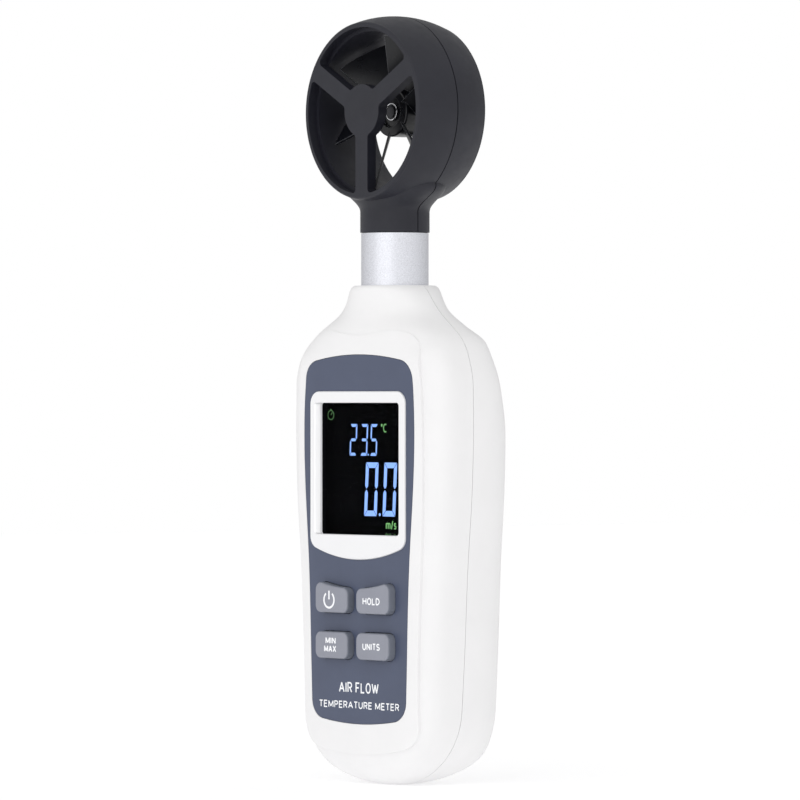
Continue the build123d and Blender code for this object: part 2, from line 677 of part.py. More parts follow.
def impeller():
    """Hub and blades, bored for the bush and pocketed for the magnet."""
    rotor = rod(0, HEAD_Z, HUB_R, behind(HUB_FRONT), behind(HUB_REAR))
    rotor = fillet(edges_at(rotor, behind(HUB_FRONT)), 0.5)
    single = blade()
    axis = Axis((0, PART_Y, HEAD_Z), (0, 1, 0))
    for number in range(BLADES):
        rotor += single.rotate(axis, BLADE_TURN + 360 / BLADES * number)
    rotor = rotor & rod(0, HEAD_Z, TIP_R, behind(-6), behind(6))
    rotor -= rod(0, HEAD_Z, 3.5, behind(-2), behind(-0.6))
    rotor -= rod(0, HEAD_Z, BUSH_R, behind(-5), behind(5))
    return rotor - pipe(0, HEAD_Z, MAGNET_R, MAGNET_BORE_R, behind(MAGNET_FRONT), behind(5))


def spindle():
    """Fixed pin that the rotor runs on, grooved near its tip."""
    pin = rod(0, HEAD_Z, SPINDLE_R, behind(-1.3), behind(SPINDLE_REAR))
    return pin - pipe(0, HEAD_Z, BUSH_R, GROOVE_R, behind(-1.02), behind(-0.63))


def build_handle():
    """Write the handle's nodes."""
    keep("front_shell", front_shell())
    keep("rear_shell", rear_shell())
    keep("battery_door", battery_door())
    keep("face_panel", face_panel())
    keep("display_bezel", display_bezel())
    keep("display_window", display_window())
    keep("lcd_glass", block(-15.5, 15.5, forward(7.9), forward(6.1), 52.0, 86.0))
    keep("lcd_holder", lcd_holder())
    keep("backlight", block(-15.5, 15.5, forward(6.0), forward(3.5), 53.0, 81.0))
    keep("zebra_strip", block(-14.0, 14.0, forward(6.1), BOARD_FRONT, 82.0, 85.5))
    keep("main_board", main_board())
    keep("board_chips", *board_chips())
    keep("cable_plug", block(-4.0, 4.0, BOARD_BACK, -0.6, 88.0, 93.5))
    keep("sensor_cable", post(0, PART_Y, 1.0, 93.5, 117.5))
    case = [pan_screw(x, z, UPPER_SEAT, CASE_SCREW) for x, z in UPPER_SCREWS]
    case += [pan_screw(x, z, BAY_FLOOR, CASE_SCREW) for x, z in LOWER_SCREWS]
    keep("case_screws", *case)
    keep("board_screws", *[pan_screw(x, z, BOARD_BACK, BOARD_SCREW) for x, z in BOARD_SCREWS])
    keep("tripod_insert", pipe(0, TRIPOD_Z, TRIPOD_OUT_R, TRIPOD_BORE_R, REAR_FACE - TRIPOD_L, REAR_FACE))


def build_keys():
    """Write the keys, their carbon pills, and what they press on."""
    keep("keypad_mat", keypad_mat())
    middles = [key_middle(side, row) for _, side, row in KEYS]
    keep("contact_pads", *[rod(x, z, PLUNGER_R, forward(3.5), BOARD_FRONT) for x, z in middles])
    for name, side, row in KEYS:
        x, z = key_middle(side, row)
        keep(name, key_cap(side, row))
        keep(name + "_pill", rod(x, z, PILL_R, forward(PLUNGER_END), forward(PILL_END)))


def build_battery():
    """Write the cells and their contacts."""
    for name, x, points_up in CELLS:
        keep(name, aaa_cell(x, cell_low(points_up), points_up))
    keep("battery_springs", *[contact_spring(x, points_up) for _, x, points_up in CELLS])
    keep("battery_contacts", *battery_contacts())


def build_head():
    """Write the nodes of the neck and the head."""
    keep("neck_sleeve", neck_sleeve())
    keep("head_front_shell", head_front_shell())
    keep("head_rear_shell", head_rear_shell())
    keep("spindle", spindle())
    keep("spindle_clip", pipe(0, HEAD_Z, CLIP_R, GROOVE_R, behind(-1.0), behind(-0.65)))
    keep("hall_sensor", block(-1.4, 1.4, behind(3.9), behind(HALL_REAR), HALL_LOW + 0.1, HALL_HIGH - 0.1))
    keep("sensor_leads", sensor_leads())
    keep("sensor_board", block(-2.4, 2.4, behind(2.2), behind(BOARD_REAR), 118.5, 127.4))
    keep("temperature_sensor", rod(0, 124.0, 0.9, behind(1.0), behind(2.2)))


def build_rotor():
    """Write the nodes that spin."""
    keep("impeller", impeller())
    keep("impeller_bush", pipe(0, HEAD_Z, BUSH_R, SPINDLE_R + 0.04, behind(-0.6), behind(3.2)))
    magnet = pipe(0, HEAD_Z, MAGNET_R, MAGNET_BORE_R, behind(MAGNET_FRONT), behind(HUB_REAR))
    keep("rotor_magnet", magnet)


os.makedirs("parts", exist_ok=True)
build_handle()
build_keys()
build_battery()
build_head()
build_rotor()
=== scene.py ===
import math

import bmesh
import bpy
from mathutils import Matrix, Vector


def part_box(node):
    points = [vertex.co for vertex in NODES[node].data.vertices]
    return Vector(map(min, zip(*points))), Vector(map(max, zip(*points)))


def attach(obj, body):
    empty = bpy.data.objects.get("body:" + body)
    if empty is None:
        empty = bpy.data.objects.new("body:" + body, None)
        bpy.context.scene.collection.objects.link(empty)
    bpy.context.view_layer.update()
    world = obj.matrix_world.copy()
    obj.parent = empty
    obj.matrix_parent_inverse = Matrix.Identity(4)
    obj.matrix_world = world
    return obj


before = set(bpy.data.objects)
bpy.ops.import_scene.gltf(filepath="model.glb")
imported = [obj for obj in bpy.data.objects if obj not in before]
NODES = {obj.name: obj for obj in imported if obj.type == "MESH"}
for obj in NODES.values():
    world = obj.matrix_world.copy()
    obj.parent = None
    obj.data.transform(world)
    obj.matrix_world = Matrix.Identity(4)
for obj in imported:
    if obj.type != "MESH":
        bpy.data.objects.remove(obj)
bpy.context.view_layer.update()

# Looks of the hand-held vane anemometer, in metres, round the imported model.
MM = 0.001


# ---- where things are, from the model ----
def corners(node):
    """Lowest and highest corners of a node, in metres."""
    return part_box(node)


PANEL_Y = corners("face_panel")[0].y
GLASS_Y = corners("lcd_glass")[0].y
SLEEVE_LOW, SLEEVE_HIGH = corners("neck_sleeve")
NECK_Y = (SLEEVE_LOW.y + SLEEVE_HIGH.y) / 2
SPINDLE_LOW, SPINDLE_HIGH = corners("spindle")
HEAD_Z = (SPINDLE_LOW.z + SPINDLE_HIGH.z) / 2


# ---- materials ----
COAT_ROUGHNESS = 0.1
FACTOR_LOW = 0.3
FACTOR_HIGH = 0.7
FRONT = (0.0, -1.0, 0.0)
RIGHT = (1.0, 0.0, 0.0)
WHITE_LIGHT = (1.0, 1.0, 1.0, 1.0)


def principled(mat):
    """The material's shader."""
    return mat.node_tree.nodes["Principled BSDF"]


def material(name, color, roughness, metallic=0.0, specular=0.5, coat=0.0, ior=1.5):
    """A principled material with its even values on the shader's own sockets."""
    mat = bpy.data.materials.new(name)
    mat.use_nodes = True
    shader = principled(mat)
    shader.inputs["Base Color"].default_value = (*color, 1.0)
    shader.inputs["Roughness"].default_value = roughness
    shader.inputs["Metallic"].default_value = metallic
    shader.inputs["Specular IOR Level"].default_value = specular
    shader.inputs["Coat Weight"].default_value = coat
    shader.inputs["Coat Roughness"].default_value = COAT_ROUGHNESS
    shader.inputs["IOR"].default_value = ior
    return mat


def coordinates(mat):
    """The object's own coordinates, in metres."""
    found = mat.node_tree.nodes.get("Coordinates")
    if found is None:
        found = mat.node_tree.nodes.new("ShaderNodeTexCoord")
        found.name = "Coordinates"
    return found.outputs["Object"]


def noise(mat, per_metre, detail, roughness=0.6):
    """A noise texture whose features are about 1 / per_metre wide."""
    node = mat.node_tree.nodes.new("ShaderNodeTexNoise")
    node.inputs["Scale"].default_value = per_metre
    node.inputs["Detail"].default_value = detail
    node.inputs["Roughness"].default_value = roughness
    mat.node_tree.links.new(coordinates(mat), node.inputs["Vector"])
    return node.outputs["Fac"]


def spread(mat, factor, low, high):
    """The middle part of a noise factor's range, mapped to low to high."""
    node = mat.node_tree.nodes.new("ShaderNodeMapRange")
    node.inputs["From Min"].default_value = FACTOR_LOW
    node.inputs["From Max"].default_value = FACTOR_HIGH
    node.inputs["To Min"].default_value = low
    node.inputs["To Max"].default_value = high
    mat.node_tree.links.new(factor, node.inputs["Value"])
    return node.outputs["Result"]


def tone_ramp(mat, factor, dark, light, start=FACTOR_LOW, end=FACTOR_HIGH):
    """A colour that runs from dark to light as the factor goes from start to end."""
    node = mat.node_tree.nodes.new("ShaderNodeValToRGB")
    ends = node.color_ramp.elements
    ends[0].position = start
    ends[0].color = (*dark, 1.0)
    ends[1].position = end
    ends[1].color = (*light, 1.0)
    mat.node_tree.links.new(factor, node.inputs["Fac"])
    return node.outputs["Color"]


def tint(mat, factor, dark, light):
    """Base colour that runs between two tones."""
    mat.node_tree.links.new(tone_ramp(mat, factor, dark, light), principled(mat).inputs["Base Color"])


def varied_roughness(mat, factor, low, high):
    """Roughness that runs between two values."""
    mat.node_tree.links.new(spread(mat, factor, low, high), principled(mat).inputs["Roughness"])


def bump(mat, height, strength, distance):
    """A bump from a height factor."""
    node = mat.node_tree.nodes.new("ShaderNodeBump")
    node.inputs["Strength"].default_value = strength
    node.inputs["Distance"].default_value = distance
    mat.node_tree.links.new(height, node.inputs["Height"])
    mat.node_tree.links.new(node.outputs["Normal"], principled(mat).inputs["Normal"])


def shaded(color, share):
    """A colour made darker or lighter by a share."""
    return tuple(min(1.0, max(0.0, c * share)) for c in color)


def moulded(name, color, roughness, grain=5000.0, grain_depth=4e-6, mottling=0.03, **more):
    """Moulded plastic or rubber: a fine spark-eroded grain, and a slow drift of tone and gloss.

    Grain is in features per metre, its depth in metres, mottling the share of the tone's drift.
    """
    mat = material(name, color, roughness, **more)
    slow = noise(mat, 90.0, 3.0)
    tint(mat, slow, shaded(color, 1 - mottling), shaded(color, 1 + mottling))
    varied_roughness(mat, noise(mat, 400.0, 5.0), roughness - 0.05, roughness + 0.05)
    bump(mat, noise(mat, grain, 3.0, 0.7), 0.35, grain_depth)
    return mat


def facing_share(mat, direction, low, high):
    """0 to 1 as the surface turns towards a direction, between two cosines."""
    nodes = mat.node_tree.nodes
    surface = nodes.new("ShaderNodeNewGeometry")
    facing = nodes.new("ShaderNodeVectorMath")
    facing.operation = "DOT_PRODUCT"
    facing.inputs[1].default_value = direction
    share = nodes.new("ShaderNodeMapRange")
    share.inputs["From Min"].default_value = low
    share.inputs["From Max"].default_value = high
    mat.node_tree.links.new(surface.outputs["Normal"], facing.inputs[0])
    mat.node_tree.links.new(facing.outputs["Value"], share.inputs["Value"])
    return share.outputs["Result"]


def keys_with_painted_wall_shade():
    """Key rubber whose walls carry painted shade, darker than their fronts."""
    mat = moulded("key_silicone", KEY_GREY, 0.55, grain=5200.0, mottling=0.04, specular=0.35)
    links = mat.node_tree.links
    base = principled(mat).inputs["Base Color"]
    # painted shade: key walls that don't face the front are mixed towards a darker grey
    mix = mat.node_tree.nodes.new("ShaderNodeMixRGB")
    mix.inputs["Color1"].default_value = (*KEY_WALL_SHADE, 1.0)
    links.new(facing_share(mat, FRONT, 0.45, 0.9), mix.inputs["Fac"])
    links.new(base.links[0].from_socket, mix.inputs["Color2"])
    links.new(mix.outputs["Color"], base)
    return mat


# how alike the true and the softened directions are where the painted edge highlight begins, and where it
# is full
EDGE_START = 0.985
EDGE_FULL = 0.80


def with_painted_edge_highlight(name, color, highlight_color, roughness, reach):
    """Thin glossy plastic whose sharp edges look softened, with a painted highlight along them over a
    reach in metres.
    """
    mat = moulded(name, color, roughness, grain=3200.0, grain_depth=2e-6, mottling=0.12, specular=0.45)
    nodes = mat.node_tree.nodes
    links = mat.node_tree.links
    base = principled(mat).inputs["Base Color"]
    rounded = nodes.new("ShaderNodeBevel")
    rounded.samples = 6
    rounded.inputs["Radius"].default_value = reach
    surface = nodes.new("ShaderNodeNewGeometry")
    likeness = nodes.new("ShaderNodeVectorMath")
    likeness.operation = "DOT_PRODUCT"
    highlight_share = nodes.new("ShaderNodeMapRange")
    highlight_share.inputs["From Min"].default_value = EDGE_START
    highlight_share.inputs["From Max"].default_value = EDGE_FULL
    mix = nodes.new("ShaderNodeMixRGB")
    mix.inputs["Color2"].default_value = (*highlight_color, 1.0)
    links.new(rounded.outputs["Normal"], likeness.inputs[0])
    links.new(surface.outputs["Normal"], likeness.inputs[1])
    links.new(likeness.outputs["Value"], highlight_share.inputs["Value"])
    # painted highlight: a lighter grey along the sharp edges
    links.new(highlight_share.outputs["Result"], mix.inputs["Fac"])
    links.new(base.links[0].from_socket, mix.inputs["Color1"])
    links.new(mix.outputs["Color"], base)
    for node in nodes:
        if node.bl_idname == "ShaderNodeBump":
            links.new(rounded.outputs["Normal"], node.inputs["Normal"])
    return mat


def left_wall_painted_light(name, color, roughness, glow):
    """White plastic whose left inner wall, the one that faces right beside the glass, glows faintly of
    itself: painted light.

    Plain white came out grey in there.
    """
    mat = moulded(name, color, roughness, grain=5200.0, mottling=0.01)
    nodes = mat.node_tree.nodes
    links = mat.node_tree.links
    shader = principled(mat)
    place = nodes.new("ShaderNodeSeparateXYZ")
    surface = nodes.new("ShaderNodeNewGeometry")
    left = nodes.new("ShaderNodeMath")
    left.operation = "LESS_THAN"
    left.inputs[1].default_value = 0.0
    lit = nodes.new("ShaderNodeMath")
    lit.operation = "MULTIPLY"
    share = nodes.new("ShaderNodeMath")
    share.operation = "MULTIPLY"
    share.inputs[1].default_value = glow
    links.new(surface.outputs["Position"], place.inputs["Vector"])
    links.new(place.outputs["X"], left.inputs[0])
    links.new(left.outputs["Value"], lit.inputs[0])
    links.new(facing_share(mat, RIGHT, 0.5, 0.9), lit.inputs[1])
    links.new(lit.outputs["Value"], share.inputs[0])
    # painted light: emission on the left-hand walls that face right
    links.new(share.outputs["Value"], shader.inputs["Emission Strength"])
    shader.inputs["Emission Color"].default_value = WHITE_LIGHT
    return mat


def blasted_metal(name, color, roughness):
    """Bead-blasted and plated metal: fine sparkle in tone, gloss and surface."""
    mat = material(name, color, roughness, metallic=1.0)
    fine = noise(mat, 3800.0, 2.0, 0.8)
    tint(mat, fine, shaded(color, 0.86), shaded(color, 1.1))
    varied_roughness(mat, noise(mat, 2600.0, 3.0), roughness - 0.09, roughness + 0.12)
    bump(mat, fine, 0.5, 8e-6)
    return mat


def turned_metal(name, color, roughness):
    """Machined metal with a fine variation of tone and gloss."""
    mat = material(name, color, roughness, metallic=1.0)
    tint(mat, noise(mat, 1500.0, 3.0), shaded(color, 0.92), shaded(color, 1.06))
    varied_roughness(mat, noise(mat, 3000.0, 2.0), roughness - 0.06, roughness + 0.08)
    bump(mat, noise(mat, 5200.0, 2.0), 0.25, 2e-6)
    return mat


def glowing(name, color, strength):
    """A lit display segment, slightly uneven along its length."""
    mat = material(name, shaded(color, 0.4), 0.5)
    shader = principled(mat)
    tone = tone_ramp(mat, noise(mat, 700.0, 2.0), shaded(color, 0.86), shaded(color, 1.1), 0.25, 0.75)
    mat.node_tree.links.new(tone, shader.inputs["Emission Color"])
    shader.inputs["Emission Strength"].default_value = strength
    return mat


WHITE = moulded("white_plastic", (0.87, 0.865, 0.868), 0.46, grain=4200.0, mottling=0.012)
# painted light: the bezel's left inner wall glows faintly
BEZEL = left_wall_painted_light("bezel_plastic", (0.88, 0.88, 0.89), 0.40, 0.45)
PANEL = moulded("panel_plastic", (0.069, 0.085, 0.140), 0.42, grain=6500.0, mottling=0.05)
# the keys' own grey, then a darker grey painted on their walls as shade
KEY_GREY = (0.285, 0.295, 0.345)
KEY_WALL_SHADE = (0.185, 0.20, 0.24)
KEY = keys_with_painted_wall_shade()
HEAD = moulded("head_plastic", (0.0125, 0.013, 0.0205), 0.50, grain=4200.0, grain_depth=6e-6,
               mottling=0.12, specular=0.4)
# the impeller's edges carry a painted highlight in a lighter grey
ROTOR = with_painted_edge_highlight("impeller_plastic", (0.005, 0.0055, 0.0085), (0.26, 0.27, 0.30), 0.30, 0.13 * MM)
METAL = blasted_metal("neck_metal", (0.78, 0.79, 0.84), 0.36)
STEEL = turned_metal("polished_steel", (0.70, 0.70, 0.72), 0.16)
ZINC = turned_metal("zinc_steel", (0.52, 0.52, 0.54), 0.30)
NICKEL = turned_metal("nickel_steel", (0.62, 0.61, 0.58), 0.26)
BRASS = turned_metal("turned_brass", (0.72, 0.52, 0.24), 0.25)
DARK_STEEL = turned_metal("dark_steel", (0.055, 0.055, 0.06), 0.2)
GOLD = turned_metal("gold_contact", (0.86, 0.62, 0.26), 0.22)
BOARD = moulded("solder_mask", (0.015, 0.12, 0.05), 0.32, mottling=0.12, coat=0.4)
CHIP = moulded("chip_plastic", (0.018, 0.018, 0.02), 0.55, mottling=0.15)
CARBON = moulded("carbon_rubber", (0.015, 0.015, 0.016), 0.7, mottling=0.15)
MAT_RUBBER = moulded("mat_rubber", (0.36, 0.37, 0.40), 0.6)
INNER = moulded("inner_plastic", (0.45, 0.45, 0.45), 0.5)
GUIDE = moulded("light_guide", (0.75, 0.78, 0.82), 0.3)
JACKET = moulded("cell_jacket", (0.05, 0.07, 0.12), 0.28, coat=0.5)
PLUG = moulded("plug_plastic", (0.72, 0.70, 0.62), 0.4)
FERRITE = moulded("magnet_ferrite", (0.04, 0.04, 0.045), 0.5, mottling=0.2)
LCD_BLACK = moulded("lcd_glass", (0.0012, 0.0012, 0.002), 0.5, grain=900.0, grain_depth=1e-7,
                    mottling=0.2, specular=0.01)
DIGIT_BLUE = glowing("digit_blue", (0.24, 0.43, 0.95), 0.95)
ICON_GREEN = glowing("icon_green", (0.18, 0.48, 0.15), 0.9)
ICON_DIM = glowing("icon_dim", (0.09, 0.23, 0.08), 0.8)
PRINT_WHITE = moulded("white_print", (0.96, 0.97, 0.99), 0.5, mottling=0.01)


def clear_window():
    """The display's clear cover, faintly uneven. Its low index keeps mirror images off the display."""
    mat = material("window_plastic", (0.98, 0.985, 1.0), 0.03, ior=1.03)
    principled(mat).inputs["Transmission Weight"].default_value = 1.0
    bump(mat, noise(mat, 250.0, 2.0), 0.05, 1e-6)
    varied_roughness(mat, noise(mat, 900.0, 3.0), 0.02, 0.05)
    return mat


WINDOW = clear_window()
FINISHES = {
    "front_shell": WHITE, "rear_shell": WHITE, "battery_door": WHITE, "face_panel": PANEL,
    "display_bezel": BEZEL, "display_window": WINDOW, "lcd_glass": LCD_BLACK, "lcd_holder": INNER,
    "backlight": GUIDE, "zebra_strip": CARBON, "main_board": BOARD, "board_chips": CHIP,
    "keypad_mat": MAT_RUBBER, "contact_pads": GOLD, "aaa_cell_left": JACKET, "aaa_cell_middle": JACKET,
    "aaa_cell_right": JACKET, "battery_springs": NICKEL, "battery_contacts": NICKEL, "case_screws": ZINC,
    "board_screws": ZINC, "tripod_insert": BRASS, "cable_plug": PLUG, "sensor_cable": CARBON,
    "neck_sleeve": METAL, "head_front_shell": HEAD, "head_rear_shell": HEAD, "spindle": DARK_STEEL,
    "spindle_clip": DARK_STEEL, "hall_sensor": CHIP, "sensor_leads": CHIP, "sensor_board": BOARD,
    "temperature_sensor": CHIP, "impeller": ROTOR, "impeller_bush": DARK_STEEL, "rotor_magnet": FERRITE,
}
for key in ("power_key", "hold_key", "min_max_key", "units_key"):
    FINISHES[key] = KEY
    FINISHES[key + "_pill"] = CARBON
for name, finish in FINISHES.items():
    mesh = NODES[name].data
    mesh.materials.clear()
    mesh.materials.append(finish)


# ---- flat marks on the display, the keys and the panel ----
LAYERS = 4
LAYER_STEP = 0.002 * MM
ARC_STEPS = 28
DISC_STEPS = 20


def linked(name, bm, finish):
    """A piece made from bm in one finish, linked into the scene."""
    mesh = bpy.data.meshes.new(name)
    bm.to_mesh(mesh)
    bm.free()
    mesh.materials.append(finish)
    piece = bpy.data.objects.new(name, mesh)
    bpy.context.scene.collection.objects.link(piece)
    return piece


def flat_piece(name, outlines, y, thickness, finish, body):
    """Closed outlines of (x, z) in metres, raised towards the reader by thickness from the plane y.

    Outlines that cross are laid at slightly different heights, so that no two faces share a plane.
    """
    bm = bmesh.new()
    for layer, outline in enumerate(outlines):
        face_y = y - thickness - layer % LAYERS * LAYER_STEP
        back = [bm.verts.new((x, y, z)) for x, z in outline]
        front = [bm.verts.new((x, face_y, z)) for x, z in outline]
        bm.faces.new(front)
        bm.faces.new(list(reversed(back)))
        count = len(outline)
        for i in range(count):
            j = (i + 1) % count
            bm.faces.new((front[i], back[i], back[j], front[j]))
    bmesh.ops.recalc_face_normals(bm, faces=bm.faces)
    piece = linked(name, bm, finish)
    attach(piece, body)


SEGMENTS = {"0": "abcdef", "2": "abged", "3": "abgcd", "5": "afgcd"}


def digit(character, x, z, width, height, stroke, flat, gap):
    """Outlines of one seven-segment digit with mitred ends, whose lower left corner is at (x, z).

    Stroke is the uprights' width, flat the height of the level bars, gap half the space between bars.
    """
    mid = height / 2
    side = stroke / 2
    level = flat / 2
    near = stroke + gap
    far = width - stroke - gap

    def place(points):
        return [(x + px + LEAN * pz, z + pz) for px, pz in points]

    def across(edge, up):
        """A level bar on the digit's edge, its long side outwards."""
        inner = edge - up * flat
        return [(gap, edge), (width - gap, edge), (far, inner), (near, inner)]

    def upright(edge, turn, middle, tip, up):
        """An upright bar on the digit's edge, from the middle to the tip."""
        inner = edge + turn * stroke
        foot = middle + up * (gap + level)
        return [
            (edge, foot), (edge, tip - up * gap), (inner, tip - up * (gap + flat)), (inner, foot),
            (edge + turn * side, middle + up * gap),
        ]

    bars = {
        "a": across(height, 1),
        "d": across(0.0, -1),
        "g": [(side + gap, mid), (near, mid + level), (far, mid + level),
              (width - side - gap, mid), (far, mid - level), (near, mid - level)],
        "f": upright(0.0, 1, mid, height, 1),
        "e": upright(0.0, 1, mid, 0.0, -1),
        "b": upright(width, -1, mid, height, 1),
        "c": upright(width, -1, mid, 0.0, -1),
    }
    return [place(bars[bar]) for bar in SEGMENTS[character]]


def bow(x, z, rx, rz, start, end, steps=12):
    """Points along part of an ellipse, from one angle to another, in degrees."""
    turns = [math.radians(start + (end - start) * i / steps) for i in range(steps + 1)]
    return [(x + rx * math.cos(t), z + rz * math.sin(t)) for t in turns]


def disc_outline(x, z, radius):
    """A round dot."""
    return bow(x, z, radius, radius, 0, 360, DISC_STEPS)[:-1]


def arc_band(x, z, radius, stroke, start, end):
    """Part of a ring, from one angle to another, in degrees."""
    outer_r = radius + stroke / 2
    inner_r = radius - stroke / 2
    outer = bow(x, z, outer_r, outer_r, start, end, ARC_STEPS)
    inner = bow(x, z, inner_r, inner_r, start, end, ARC_STEPS)
    return outer + list(reversed(inner))


def bar(x0, z0, x1, z1, stroke):
    """A straight stroke between two points."""
    run = Vector((x1 - x0, z1 - z0))
    side = Vector((-run.y, run.x)).normalized() * stroke / 2
    return [
        (x0 + side.x, z0 + side.y), (x0 - side.x, z0 - side.y),
        (x1 - side.x, z1 - side.y), (x1 + side.x, z1 + side.y),
    ]


# the lean of the display's digits, as a share of their height
LEAN = 0.058
# the display's marks float just off the glass
LCD_Y = GLASS_Y - 0.02 * MM
# how thick the lowest layer of a mark or a letter is
MARK_T = 0.01 * MM


def display():
    """What the display shows: a big reading, a small one, their units and a clock."""
    big = {
        "z": 58.7 * MM, "width": 4.25 * MM, "height": 11.7 * MM,
        "stroke": 0.98 * MM, "flat": 1.2 * MM, "gap": 0.1 * MM,
    }
    outlines = digit("0", -1.0 * MM, **big)
    outlines += digit("0", 5.2 * MM, **big)
    outlines.append(disc_outline(4.3 * MM, big["z"] + 0.35 * MM, 0.33 * MM))
    flat_piece("reading_speed", outlines, LCD_Y, MARK_T, DIGIT_BLUE, "handle")

    small = {
        "z": 71.85 * MM, "width": 2.3 * MM, "height": 6.9 * MM,
        "stroke": 0.42 * MM, "flat": 0.62 * MM, "gap": 0.12 * MM,
    }
    outlines = []
    for character, x in (("2", -5.95), ("3", -2.3), ("5", 0.95)):
        outlines += digit(character, x * MM, **small)
    outlines.append(disc_outline(0.42 * MM, small["z"] + 0.22 * MM, 0.2 * MM))
    flat_piece("reading_temperature", outlines, LCD_Y, MARK_T, DIGIT_BLUE, "handle")

    clock_x = -12.3 * MM
    clock_z = 80.7 * MM
    ring_r = 1.0 * MM
    line = 0.15 * MM
    crown_half = 0.25 * MM
    crown_z = clock_z + 1.2 * MM
    outlines = [
        arc_band(clock_x, clock_z, ring_r, line, 0, 180),
        arc_band(clock_x, clock_z, ring_r, line, 180, 360),
        bar(clock_x, clock_z, clock_x + 0.5 * MM, clock_z + 0.6 * MM, line),
        bar(clock_x - crown_half, crown_z, clock_x + crown_half, crown_z, line),
    ]
    flat_piece("clock_icon", outlines, LCD_Y, MARK_T, ICON_DIM, "handle")

    # piece, letters, X and Z of the middle, height, width, stroke, finish
    units = [
        ("unit_celsius", "oC", 5.7, 77.9, 1.9, 1.95, 0.2, ICON_GREEN),
        ("unit_speed", "m/s", 8.1, 56.85, 1.9, 3.5, 0.26, ICON_GREEN),
        ("unit_feet", "ft/min", 8.2, 54.1, 1.9, 4.2, 0.26, ICON_DIM),
    ]
    for name, words, x, z, height, width, stroke, finish in units:
        lettering(name, words, x, z, height, width, stroke, finish, LCD_Y, "handle")


PRINT_EDGE_LEFT = -14.03 * MM
PRINT_EDGE_W = 1.15 * MM
PRINT_EDGE_Z = 69.0 * MM
PRINT_EDGE_HALF = 14.37 * MM
PRINT_EDGE_R = 0.6 * MM
PRINT_EDGE_T = 0.02 * MM


def pane_print():
    """The black edge printed on the pane, where the wall round the glass would show."""
    pane_y = corners("display_window")[0].y
    radius = PRINT_EDGE_R
    right = PRINT_EDGE_LEFT + PRINT_EDGE_W
    bottom = PRINT_EDGE_Z - PRINT_EDGE_HALF
    top = PRINT_EDGE_Z + PRINT_EDGE_HALF
    outline = [(right, bottom)]
    outline += bow(PRINT_EDGE_LEFT + radius, bottom + radius, radius, radius, 270, 180, 6)
    outline += bow(PRINT_EDGE_LEFT + radius, top - radius, radius, radius, 180, 90, 6)
    outline.append((right, top))
    flat_piece("pane_print", [outline], pane_y, PRINT_EDGE_T, LCD_BLACK, "handle")


# ---- plain lettering, drawn with one width of stroke ----
D_PATH = [(0, 0), (0.35, 0)] + bow(0.35, 0.5, 0.65, 0.5, -80, 80) + [(0.35, 1), (0, 1)]
P_PATH = [(0, 0), (0, 1), (0.55, 1)] + bow(0.55, 0.74, 0.45, 0.26, 75, -75) + [(0.55, 0.48), (0, 0.48)]

